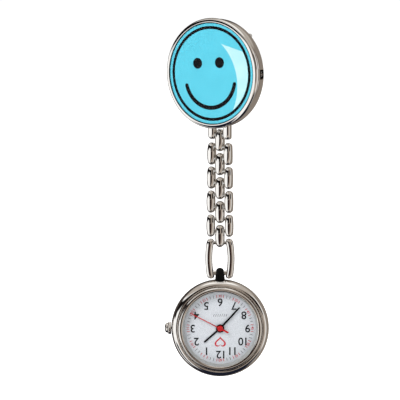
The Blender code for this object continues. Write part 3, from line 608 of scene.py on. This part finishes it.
def chain_frame(pin, share):
    """A frame on a pin, turned by its share of the chain's twist."""
    return Matrix.Translation(pins[pin]) @ Matrix.Rotation(TWIST * share / HINGES, 4, "Z")


def make_links():
    """Centre links from every odd pin to the next, and pairs of outer links from every even one."""
    span = (pins[2] - pins[3]).length / MM
    for index in range(1, 10):
        matrix = chain_frame(index, index)
        if index % 2:
            number = (index + 1) // 2
            pillow(f"link_centre_{number}", matrix, f"centre_{number}", (f"centre_link_{number}",),
                   half_width=1.3, top=LINK_OVERHANG + LINK_SHIFT, bottom=LINK_SHIFT - span - LINK_OVERHANG,
                   half_depth=LINK_HALF_DEPTH)
            continue
        letter = "ABCD"[index // 2 - 1]
        for side, word in SIDES:
            pillow(f"link_{letter}_{word}", matrix, f"row_{letter}", (f"outer_link_{letter}_{word}",),
                   centre=side * 2.565, half_width=1.185, top=LINK_OVERHANG - LINK_SHIFT,
                   bottom=-LINK_SHIFT - span - LINK_OVERHANG, half_depth=LINK_HALF_DEPTH)


def end_arm_bow(t, side):
    """The end link's arm: outer and inner edges that both swell outwards in the middle."""
    bulge = max(0.0, math.cos(t * math.pi / 2))
    outer = 3.6 + 0.45 * bulge ** 0.8 - 0.12 * (1 - bulge)
    inner = 1.4 + 0.72 * bulge ** 0.9
    return side * (outer + inner) / 2, (outer - inner) / 2


def make_end_link():
    drop = (pins[10] - pins[11]).length / MM
    for side, word in SIDES:
        pillow(f"end_arm_{word}", chain_frame(10, 10), "end_link", (f"end_link_{word}",), top=1.19,
               bottom=-drop - 1.59, half_depth=0.95, bow=lambda t, side=side: end_arm_bow(t, side), rows=52,
               nose=(1.3, 2.0), heel=(0.9, 0.8), section=(2.3, 3.5))


def make_pins():
    """The cross pins and the end link's bar, as turned rods with rounded ends."""
    def rod(name, radius, half, pin, share, body, look, replaced):
        ends = 0.12
        profile = [(0, half), (radius - ends, half), (radius, half - ends), (radius, -half + ends),
                   (radius - ends, -half), (0, -half)]
        matrix = chain_frame(pin, share) @ Matrix.Rotation(math.pi / 2, 4, "Y")
        lathe(name, profile, matrix, look, body, (replaced,), steps=32, closed=False)
    pin_radius, pin_half = 0.45, 2.9
    rod("pin_rod_lugs", pin_radius, pin_half, 1, 0, "brooch", PIN_STEEL, "lug_pin")
    for number, letter in enumerate("ABCD"):
        top = 2 + 2 * number
        for pin, word in ((top, "top"), (top + 1, "bottom")):
            rod(f"pin_rod_{letter}_{word}", pin_radius, pin_half, pin, top, f"row_{letter}", PIN_STEEL,
                f"pin_{letter}_{word}")
    rod("pin_rod_end", pin_radius, 2.7, 10, 10, "end_link", PIN_STEEL, "end_link_pin")
    rod("bar_rod_end", 0.65, 2.9, 11, 10, "end_link", CHROME, "end_link_bar")


# ------------------------------------------------------------------ watch
CASE_RADIUS, CASE_CREST = 13.5, 2.63
CREST_RADIUS, BEZEL_RADIUS, PANE_RADIUS = 12.0, 11.6, 10.64
BEZEL_CREST = 3.61
BACK_RADIUS, BACK_FACE = 11.85, -3.6
STEM_HEIGHT = -0.35
DIAL_TOP, INK_TOP = 0.9, 0.93


def make_case():
    body = "watch"
    # outer band: crest beside the bezel, then a long round fall to the flank
    band = [(11.7, 2.25), (11.72, 2.44), (11.78, 2.55), (11.88, 2.61), (CREST_RADIUS, CASE_CREST),
            (12.15, 2.61), (12.32, 2.55), (12.5, 2.47), (12.67, 2.36), (12.84, 2.22), (13.0, 2.04),
            (13.14, 1.83), (13.27, 1.55), (13.38, 1.2), (13.46, 0.8), (CASE_RADIUS, 0.4),
            (CASE_RADIUS, -0.4), (13.47, -0.9), (13.4, -1.4), (13.28, -1.9), (13.1, -2.35), (12.9, -2.7),
            (12.7, -2.88)]
    inside = [(12.0, -2.9), (11.95, -2.85), (11.95, -2.35), (11.3, -2.35), (11.3, 1.9), (11.7, 1.9)]
    case = lathe("case_band", band + inside, WATCH, CHROME, body, ("watch_case",),
                 steps=220)
    carve(case, rod_tool(0.5, -15, -10), WATCH @ Matrix.Translation((0, 0, STEM_HEIGHT * MM)))
    lip = [(10.46, 3.26), (10.44, 3.38), (10.48, 3.48), (10.58, 3.55), (10.76, 3.59), (11.0, BEZEL_CREST),
           (11.2, 3.575), (11.36, 3.48), (11.48, 3.34), (11.56, 3.15), (BEZEL_RADIUS, 2.9),
           (BEZEL_RADIUS, 1.97), (10.7, 1.97), (10.7, 3.24)]
    lathe("bezel_ring", lip, WATCH, CHROME, body, ("bezel",), steps=220)
    crystal = [(0, 3.34), (4, 3.32), (8, 3.27), (10.0, 3.21), (PANE_RADIUS, 3.19), (PANE_RADIUS, 2.46),
               (0, 2.46)]
    lathe("crystal_pane", crystal, WATCH, CRYSTAL_CLEAR, body, ("crystal",), steps=160,
          closed=False)
    chapter = [(PANE_RADIUS, 2.42), (PANE_RADIUS, 0.95), (9.95, 0.95), (9.98, 1.05), (10.2, 1.5),
               (10.38, 2.0), (10.46, 2.42)]
    lathe("chapter_slope", chapter, WATCH, CHAPTER, body, ("chapter_ring",), steps=160)


def make_case_back():
    """A snap-on back: a raised centre, a turned groove and a case-knife notch at its edge."""
    face = [(0, BACK_FACE), (8.3, BACK_FACE), (8.4, -3.52), (8.55, -3.47), (8.7, -3.52), (8.8, BACK_FACE),
            (10.9, BACK_FACE), (11.2, -3.58), (11.5, -3.48), (11.72, -3.28), (11.84, -3.0)]
    inside = [(BACK_RADIUS, -2.42), (10.9, -2.4), (10.9, -2.5), (0, -2.5)]
    back = lathe("back_cap", face + inside, WATCH, SATIN, "watch", ("case_back",), steps=160,
                 closed=False)
    carve(back, box_tool((-1.1, -12.6, -3.8), (1.1, -11.35, -3.1)), WATCH, angle=30)


def make_eyelet():
    """The black loop on the case: rounded over the end link's bar, square and a little flared below it."""
    matrix = chain_frame(HINGES, HINGES)
    crown, foot = 1.43, -1.76
    half_width, flare = 1.15, 0.2
    squareness = 0.55
    count, around = 22, 40
    bm = bmesh.new()
    rings = [[bm.verts.new((0, 0, crown))]]
    for i in range(1, count + 1):
        # from the crown of the arch down to the foot, in front view
        height = crown + (foot - crown) * (1 - math.cos(math.pi / 2 * i / count))
        if height > 0:
            over = height / crown
            width = half_width * math.sqrt(max(0.0, 1 - over ** 2.6))
            depth = crown * math.sqrt(max(0.0, 1 - over ** 2))
        else:
            width = half_width + flare * height / foot
            depth = crown
        ring = []
        for k in range(around):
            a = 2 * math.pi * (k + 0.5) / around
            c, s = math.cos(a), math.sin(a)
            x = math.copysign(abs(c) ** squareness, c) * width
            y = math.copysign(abs(s) ** squareness, s) * depth
            ring.append(bm.verts.new((x, y, height)))
        rings.append(ring)
    skin(bm, rings)
    bm.faces.new(rings[-1])
    loop = piece_from("hang_loop", bm, matrix, LOOP_BLACK, "watch", ("eyelet",), angle=50)
    carve(loop, rod_tool(0.75, -3, 3), matrix, angle=50)


def dial_spot(angle, radius_x, radius_y=None):
    """A place on the dial at a clockwise angle from its 12, which points down."""
    a = math.radians(angle)
    return -radius_x * math.sin(a), -(radius_y or radius_x) * math.cos(a)


def glyphs(name, items, look, bold):
    """Numbers printed on the dial. items are (text, x, y, size, turn in degrees)."""
    bm = bmesh.new()
    for text, x, y, size, turn in items:
        font = bpy.data.curves.new("glyph", "FONT")
        font.body = text
        font.size = size
        font.align_x = "CENTER"
        font.align_y = "CENTER"
        font.space_character = 0.92
        font.resolution_u = 6
        font.extrude = (INK_TOP - DIAL_TOP) / 2
        font.offset = bold * size
        holder = bpy.data.objects.new("glyph", font)
        scene.collection.objects.link(holder)
        mesh = baked(holder)
        bpy.data.objects.remove(holder, do_unlink=True)
        xs = [v.co.x for v in mesh.vertices]
        ys = [v.co.y for v in mesh.vertices]
        to_centre = Matrix.Translation((-(min(xs) + max(xs)) / 2, -(min(ys) + max(ys)) / 2, 0))
        to_place = Matrix.Translation((x, y, (DIAL_TOP + INK_TOP) / 2))
        mesh.transform(to_place @ Matrix.Rotation(math.radians(turn), 4, "Z") @ to_centre)
        bm.from_mesh(mesh)
        bpy.data.meshes.remove(mesh)
    bmesh.ops.remove_doubles(bm, verts=bm.verts, dist=0.0002)
    piece_from(name, bm, WATCH, look, "watch", angle=30)


def strokes(name, shapes, look):
    """Flat printed shapes, each a list of outlines, joined into one piece."""
    whole = bmesh.new()
    for shape in shapes:
        part = outline_mesh("stroke", shape, DIAL_TOP, INK_TOP)
        mesh = bpy.data.meshes.new("stroke")
        part.to_mesh(mesh)
        part.free()
        whole.from_mesh(mesh)
        bpy.data.meshes.remove(mesh)
    piece_from(name, whole, WATCH, look, "watch", angle=30)


def make_dial():
    edge, hole, back = 10.5, 0.75, 0.56
    profile = [(hole, back), (edge, back), (edge, 0.8), (10.48, 0.86), (10.35, DIAL_TOP), (hole, DIAL_TOP)]
    lathe("dial_plate", profile, WATCH, DIAL, "watch", ("dial",), steps=160)
    hours = []
    for hour in range(1, 13):
        x, y = dial_spot(30 * hour, 7.6, 7.3)
        if hour in (10, 11):  # two figures need more room beside the minute track
            x -= 0.45
        hours.append((str(hour), x, y - 0.1, 3.05, 180))
    glyphs("dial_numbers", hours, GREY_PRINT, 0.016)
    minutes = [(str(5 * h), *dial_spot(30 * h, 8.95), 1.05, 180 - 30 * h) for h in range(1, 13)]
    glyphs("dial_minutes", minutes, RED_PRINT, 0.006)
    red, grey = [], []
    for minute in range(60):
        place = minute % 5
        if place == 0:
            continue
        ends = [dial_spot(6 * minute, 8.5), dial_spot(6 * minute, 9.25)]
        (red if place in (1, 4) else grey).append([stroke(ends, 0.16, 2)])
    strokes("dial_ticks_red", red, RED_PRINT)
    strokes("dial_ticks_grey", grey, TICK_GREY)
    heart = []
    for i in range(64):
        a = 2 * math.pi * i / 64
        lobe = 1.3 * math.cos(a) - 0.5 * math.cos(2 * a) - 0.2 * math.cos(3 * a) - 0.1 * math.cos(4 * a)
        heart.append((-1.55 * math.sin(a) ** 3, -lobe))
    heart_y = -3.95
    outer = [(x, heart_y + y) for x, y in heart]
    inner = [(x * 0.72, heart_y - 0.06 + y * 0.70) for x, y in heart]
    strokes("dial_heart", [[outer, inner]], RED_PRINT)
    pitch, lean = 0.58, 0.12
    rule = [[stroke([(pitch * i - lean, 3.3), (pitch * i + lean, 3.9)], 0.15, 3)] for i in range(-3, 4)]
    strokes("dial_rule", rule, TICK_GREY)


def hand_shape(length, half, tip_half, collet, tail=0.0, tail_half=0.0):
    """A baton hand's outline along +Y with a round collet and, if any, a tail."""
    lean = math.degrees(math.asin(half / collet))
    tail_lean = math.degrees(math.asin(tail_half / collet))
    points = arc(collet, 90 + lean, 270 - tail_lean, 20)
    if tail:
        tail_centre = (0, -tail + tail_half)
        points += arc(tail_half, 180, 360, 8, tail_centre)
        points += arc(collet, 270 + tail_lean, 450 - lean, 20)
    else:
        points += arc(collet, 270, 450 - lean, 20)[1:]
    return points + arc(tip_half, 0, 180, 8, (0, length - tip_half))


def make_hands():
    hour, minute, second = (math.radians(a) for a in (48.9, 222.7, 117.5))

    def turned(angle):
        return WATCH @ Matrix.Rotation(math.pi - angle, 4, "Z")
    plate("hand_hour", [hand_shape(5.95, 0.28, 0.24, 1.12), circle(0.57, 32)], 1.1, 1.25, turned(hour),
          HAND_BLACK, "hours", ("hour_hand",), bevel=0.04)
    plate("hand_minute", [hand_shape(7.95, 0.27, 0.22, 1.16), circle(0.35, 32)], 1.4, 1.55, turned(minute),
          HAND_BLACK, "minutes", ("minute_hand",), bevel=0.04)
    plate("hand_second", [hand_shape(9.4, 0.15, 0.12, 0.82, 2.6, 0.24)], 1.7, 1.82, turned(second),
          HAND_RED, "seconds", ("second_hand",), bevel=0.03)
    cap = [(0, 2.1), (0.42, 2.07), (0.66, 1.98), (0.8, 1.86), (0.82, 1.8), (0.82, 1.72), (0, 1.72)]
    lathe("hand_cap", cap, WATCH, HAND_RED, "seconds", steps=48, closed=False)


def make_crown():
    """A fluted winding crown with a smooth domed end, drawn along Z and laid along -X."""
    matrix = WATCH @ Matrix.Translation((0, 0, STEM_HEIGHT * MM)) @ Matrix.Rotation(-math.pi / 2, 4, "Y")
    base, flutes, flute_depth = 13.56, 26, 0.05

    def flute(angle, radius, height):
        collar = base + 0.1 < height < base + 0.85 and radius > 1.5
        return 1.0 - (flute_depth if collar else 0.0) * (0.5 + 0.5 * math.cos(flutes * angle))
    socket = [(0, 1.0), (0.42, 1.0), (0.42, 0)]
    collar = [(1.55, 0), (1.68, 0.06), (1.75, 0.16), (1.75, 0.45), (1.75, 0.72), (1.66, 0.82), (1.45, 0.88)]
    dome = [(1.38, 0.95), (1.36, 1.15), (1.26, 1.42), (1.0, 1.63), (0.6, 1.76), (0, 1.8)]
    profile = [(radius, base + height) for radius, height in socket + collar + dome]
    lathe("crown_knob", profile, matrix, CHROME, "crown", ("crown",), steps=6 * flutes,
          wave=flute, closed=False, angle=30)


# ------------------------------------------------------------------ CAD pieces that stay, with looks
def dress(look, *nodes):
    for node in nodes:
        obj = frame["nodes"][node]
        obj.data.materials.clear()
        obj.data.materials.append(look)


def dress_cad():
    dress(SATIN, "train_bridge", "stator")
    dress(PIN_STEEL, "clip_axle", "stem")
    dress(BRASS, "main_plate", "seconds_wheel", "centre_wheel", "hour_wheel", "third_wheel", "minute_wheel",
          "step_wheel")
    dress(DARK_STEEL, "rotor")
    dress(BOARD, "circuit_board")
    dress(COPPER, "coil")
    dress(NICKEL, "battery")
    dress(PLASTIC, "movement_ring")
    dress(RUBBER, "back_gasket")


# ------------------------------------------------------------------ studio, in metres
CAMERA_AZIMUTH, CAMERA_ELEVATION, CAMERA_ROLL = math.radians(35.0), math.radians(5.5), math.radians(-0.22)
FIELD = 0.1104
CAMERA_DISTANCE = 0.9
LOOK_HEIGHT, LOOK_LEFT = -0.03512, 0.00545
CAMERA_RIGHT = Vector((math.cos(CAMERA_AZIMUTH), math.sin(CAMERA_AZIMUTH), 0))
CAMERA_FRONT = Vector((math.sin(CAMERA_AZIMUTH), -math.cos(CAMERA_AZIMUTH), 0))
UP = Vector((0, 0, 1))


def make_camera():
    towards = CAMERA_FRONT * math.cos(CAMERA_ELEVATION) + UP * math.sin(CAMERA_ELEVATION)
    target = Vector((pins[1].x, pins[1].y, LOOK_HEIGHT)) - CAMERA_RIGHT * LOOK_LEFT
    data = bpy.data.cameras.new("camera")
    data.sensor_width = 36.0
    data.lens = data.sensor_width * CAMERA_DISTANCE / FIELD
    data.clip_start = 0.01
    camera = bpy.data.objects.new("camera", data)
    scene.collection.objects.link(camera)
    camera.location = target + towards * CAMERA_DISTANCE
    roll = Quaternion((0, 0, 1), CAMERA_ROLL)
    camera.rotation_euler = (towards.to_track_quat("Z", "Y") @ roll).to_euler()
    scene.camera = camera


class Sky:
    """The world's colour by direction, built up in layers.

    Angles round are 0 straight behind the camera, negative to its left and positive to its right; angles up
    are 0 at the horizon. A mask is a list of (angle, amount) stops.
    """

    def __init__(self, tree):
        self.tree = tree
        coords = tree.nodes.new("ShaderNodeTexCoord")
        turn = tree.nodes.new("ShaderNodeMapping")
        turn.vector_type = "POINT"
        turn.inputs["Rotation"].default_value = (0, 0, -CAMERA_AZIMUTH)
        split = tree.nodes.new("ShaderNodeSeparateXYZ")
        flip = tree.nodes.new("ShaderNodeMath")
        flip.operation = "MULTIPLY"
        flip.inputs[1].default_value = -1.0
        around = tree.nodes.new("ShaderNodeMath")
        around.operation = "ARCTAN2"
        tree.links.new(coords.outputs["Generated"], turn.inputs["Vector"])
        tree.links.new(turn.outputs["Vector"], split.inputs["Vector"])
        tree.links.new(split.outputs["Y"], flip.inputs[0])
        tree.links.new(split.outputs["X"], around.inputs[0])
        tree.links.new(flip.outputs[0], around.inputs[1])
        self.round = self.to_unit(around.outputs[0], math.pi)
        self.height = self.to_unit(split.outputs["Z"], 1.0)
        self.picture = None

    def to_unit(self, value, limit):
        """Maps -limit..limit to 0..1."""
        node = self.tree.nodes.new("ShaderNodeMapRange")
        node.inputs["From Min"].default_value = -limit
        node.inputs["From Max"].default_value = limit
        self.tree.links.new(value, node.inputs["Value"])
        return node.outputs["Result"]

    def ramp(self, value, stops):
        node = self.tree.nodes.new("ShaderNodeValToRGB")
        elements = node.color_ramp.elements
        while len(elements) < len(stops):
            elements.new(0.5)
        for element, (position, colour) in zip(elements, stops):
            element.position = position
            element.color = (*colour, 1.0)
        self.tree.links.new(value, node.inputs["Fac"])
        return node.outputs["Color"]

    def walls(self, stops):
        self.picture = self.ramp(self.round, [((angle + 180) / 360, colour) for angle, colour in stops])

    def across(self, *stops):
        return self.ramp(self.round, [((angle + 180) / 360, (amount,) * 3) for angle, amount in stops])

    def upwards(self, *stops):
        level = [(math.sin(math.radians(angle)) + 1) / 2 for angle, _ in stops]
        return self.ramp(self.height, [(at, (amount,) * 3) for at, (_, amount) in zip(level, stops)])

    def mix(self, under, over, amount, blend="MIX"):
        """Colours and amount are sockets or plain values."""
        node = self.tree.nodes.new("ShaderNodeMixRGB")
        node.blend_type = blend
        for name, value in (("Color1", under), ("Color2", over), ("Fac", amount)):
            if isinstance(value, bpy.types.NodeSocket):
                self.tree.links.new(value, node.inputs[name])
            else:
                node.inputs[name].default_value = value
        return node.outputs["Color"]

    def lay(self, colour, *masks):
        """Lays a flat colour over the picture so far, where all the masks are white."""
        cover = masks[0]
        for mask in masks[1:]:
            cover = self.mix(cover, mask, 1.0, "MULTIPLY")
        self.picture = self.mix(self.picture, (*colour, 1.0), cover)


def chrome_picture(tree):
    """What the chrome mirrors: pale walls with dark flags, a grey ceiling with a lamp and a dark floor."""
    white, pale, tan = (1.0, 1.0, 1.0), (0.78, 0.76, 0.74), (0.42, 0.36, 0.31)
    flank, brown, edge = (0.25, 0.215, 0.185), (0.10, 0.07, 0.055), (0.06, 0.05, 0.045)
    umber, dark, navy = (0.03, 0.017, 0.015), (0.006, 0.004, 0.004), (0.010, 0.012, 0.022)
    ceiling, lamp = (0.46, 0.42, 0.38), (0.95, 0.94, 0.92)
    sky = Sky(tree)
    sky.walls([(-180, edge), (-114, edge), (-106, white), (-36, white), (-30, tan), (50, tan), (58, pale),
               (80, pale), (88, brown), (96, flank), (165, flank), (174, edge), (180, edge)])
    sky.lay(umber, sky.across((-37, 0), (-31, 1), (8, 1), (18, 0)),
            sky.upwards((-13, 0), (-9, 1), (3, 1), (9, 0)))
    flag = sky.upwards((4, 0), (8, 1), (29, 1), (34, 0))
    sky.lay(dark, sky.across((-122, 0), (-114, 1), (-6, 1), (2, 0)), flag)
    sky.lay(dark, sky.across((16, 0), (21, 1), (54, 1), (62, 0)), flag)
    # a gap in the left flag keeps the brooch's lip white
    sky.lay(white, sky.across((-78, 0), (-72, 1), (-42, 1), (-36, 0)),
            sky.upwards((2, 0), (4, 1), (13, 1), (17, 0)))
    sky.lay(ceiling, sky.upwards((34, 0), (42, 1)))
    sky.lay(lamp, sky.upwards((60, 0), (68, 1)))
    # the dark floor reaches higher in front of the brooch and of the watch than between them or on the right
    sky.lay(navy, sky.upwards((-26, 1), (-22, 0)), sky.across((-92, 0), (-86, 1), (-56, 1), (-51, 0)))
    sky.lay(navy, sky.upwards((-35, 1), (-27, 0)), sky.across((-38, 0), (-28, 1), (60, 1), (90, 0)))
    sky.lay(navy, sky.upwards((-60, 1), (-50, 0)))
    return sky.picture


def make_world():
    """The chrome's picture for mirror rays, plain soft light for the rest and a white backdrop."""
    world = bpy.data.worlds.new("studio")
    scene.world = world
    world.use_nodes = True
    tree = world.node_tree
    tree.nodes.clear()

    def background(strength):
        node = tree.nodes.new("ShaderNodeBackground")
        node.inputs["Color"].default_value = (1.0, 1.0, 1.0, 1.0)
        node.inputs["Strength"].default_value = strength
        return node

    def either(question, no, yes):
        node = tree.nodes.new("ShaderNodeMixShader")
        tree.links.new(question, node.inputs["Fac"])
        tree.links.new(no.outputs[0], node.inputs[1])
        tree.links.new(yes.outputs[0], node.inputs[2])
        return node
    mirrored, soft, backdrop = background(1.15), background(0.62), background(1.05)
    tree.links.new(chrome_picture(tree), mirrored.inputs["Color"])
    path = tree.nodes.new("ShaderNodeLightPath")
    lit = either(path.outputs["Is Glossy Ray"], soft, mirrored)
    seen = either(path.outputs["Is Camera Ray"], lit, backdrop)
    out = tree.nodes.new("ShaderNodeOutputWorld")
    tree.links.new(seen.outputs[0], out.inputs["Surface"])


def make_light(name, place, size, power, target):
    data = bpy.data.lights.new(name, "AREA")
    data.shape = "RECTANGLE"
    data.size, data.size_y = size
    data.energy = power
    lamp = bpy.data.objects.new(name, data)
    scene.collection.objects.link(lamp)
    lamp.location = place
    lamp.rotation_euler = (Vector(place) - Vector(target)).to_track_quat("Z", "Y").to_euler()
    lamp.visible_glossy = False


def make_floor():
    """A pale floor below the watch, which its chrome doesn't mirror."""
    level = cad_box[0][2] - 0.016
    bm = bmesh.new()
    bmesh.ops.create_grid(bm, x_segments=24, y_segments=24, size=1.6,
                          matrix=Matrix.Translation((0, 0, level)))
    mesh = bpy.data.meshes.new("floor")
    bm.to_mesh(mesh)
    bm.free()
    floor = bpy.data.objects.new("floor", mesh)
    scene.collection.objects.link(floor)
    mat, tree, shader = new_material("floor_white", (0.93, 0.93, 0.93), 0.8)
    tint(tree, shader.inputs["Base Color"], object_noise(tree, 6.0), (0.92, 0.92, 0.92), (0.94, 0.94, 0.94))
    shader.inputs["Emission Color"].default_value = (1, 1, 1, 1)
    shader.inputs["Emission Strength"].default_value = 0.7
    mesh.materials.append(mat)
    floor.visible_glossy = False


def make_studio():
    make_camera()
    make_world()
    middle = Vector((0, 0, -0.035))
    key = middle + CAMERA_FRONT * 0.5 - CAMERA_RIGHT * 0.35 + UP * 0.45
    fill = middle + CAMERA_FRONT * 0.5 + CAMERA_RIGHT * 0.5
    make_light("key", key, (0.4, 0.4), 5.0, middle)
    make_light("fill", fill, (0.3, 0.5), 1.6, middle)
    make_floor()


make_studio()
make_rim()
make_lugs()
make_badge()
make_back_cover()
make_clip()
make_bushings()
make_spring()
make_links()
make_end_link()
make_pins()
make_case()
make_case_back()
make_eyelet()
make_dial()
make_hands()
make_crown()
dress_cad()

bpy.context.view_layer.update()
import json
